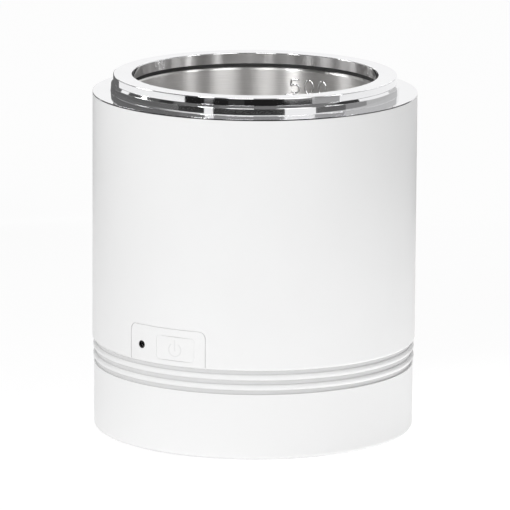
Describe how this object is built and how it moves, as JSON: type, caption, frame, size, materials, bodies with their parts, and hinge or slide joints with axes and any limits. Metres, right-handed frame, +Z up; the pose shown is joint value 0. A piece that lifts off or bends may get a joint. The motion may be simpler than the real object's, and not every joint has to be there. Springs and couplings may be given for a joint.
{
  "type": "wax warmer pot",
  "caption": "Cylindrical electric wax warmer: white plastic body with beaded base, chromed stepped rim, lift-out stainless pot, flush panel with power button and lamp, two-pin mains inlet.",
  "frame": {"origin": "on the table, under the middle of the body, level with the undersides of the feet", "axes": "+Z up along the body's axis, control panel facing -Y, mains inlet facing +Y"},
  "size_m": [0.13, 0.13, 0.1446],
  "materials": {
    "white_plastic": "satin white moulded plastic",
    "chrome": "mirror-bright chrome plate",
    "stainless_steel": "fine brushed stainless steel",
    "black_rubber": "matt black rubber",
    "cast_aluminium": "satin machined aluminium",
    "zinc_steel": "bright zinc-plated steel",
    "mica_heater": "silvery tan mica sheet",
    "fibre_insulation": "off-white felted fibre",
    "thermal_device": "dark moulded body",
    "circuit_board": "green solder resist",
    "black_plastic": "satin black moulded plastic",
    "terminal_plastic": "natural nylon",
    "capacitor_sleeve": "dark shrink sleeve",
    "lamp_lens": "smoked lamp lens",
    "plated_brass": "nickel-plated brass",
    "lead_insulation": "silicone-sleeved wire"
  },
  "bodies": {
    "housing": {"outer_shell": "white_plastic", "base_shell": "white_plastic", "control_panel": "white_plastic", "trim_ring": "chrome", "seat_gasket": "black_rubber", "rubber_feet": "black_rubber", "heating_bowl": "cast_aluminium", "base_screws": "zinc_steel", "trim_screws": "zinc_steel", "bowl_screws": "zinc_steel", "shield_screws": "zinc_steel", "panel_screws": "zinc_steel", "board_screws": "zinc_steel", "inlet_screws": "zinc_steel", "clamp_screw": "zinc_steel", "heater_clamp": "zinc_steel", "fuse_clip": "zinc_steel", "shield_standoffs": "zinc_steel", "heat_shield": "zinc_steel", "heater_band": "mica_heater", "insulation_sleeve": "fibre_insulation", "thermostat": "thermal_device", "thermal_fuse": "thermal_device", "button_board": "circuit_board", "main_board": "circuit_board", "tact_switch": "black_plastic", "relay": "black_plastic", "mains_inlet": "black_plastic", "transformer": "black_plastic", "terminal_block": "terminal_plastic", "heater_terminal": "terminal_plastic", "sensor_header": "terminal_plastic", "button_header": "terminal_plastic", "capacitor": "capacitor_sleeve", "indicator_led": "lamp_lens", "inlet_pins": "plated_brass", "inlet_leads": "lead_insulation", "heater_leads": "lead_insulation", "sensor_leads": "lead_insulation", "button_leads": "lead_insulation"},
    "pot": {"wax_pot": "stainless_steel", "pot_collar": "chrome", "collar_seal": "black_rubber"},
    "button": {"power_button": "white_plastic"},
    "plunger": {"switch_plunger": "black_plastic"}
  },
  "joints": [
    {"name": "pot_lift", "type": "slide", "parent": "housing", "child": "pot", "axis": [0, 0, 1], "range_m": [0, 0.11]},
    {"name": "button_press", "type": "slide", "parent": "housing", "child": "button", "axis": [0, 1, 0], "range_m": [0, 0.0005], "stiffness_N_per_m": 3200},
    {"name": "plunger_press", "type": "slide", "parent": "housing", "child": "plunger", "axis": [0, 1, 0], "range_m": [0, 0.0005]}
  ],
  "couplings": [
    {"joint": "plunger_press", "follows": "button_press", "ratio": 1}
  ]
}
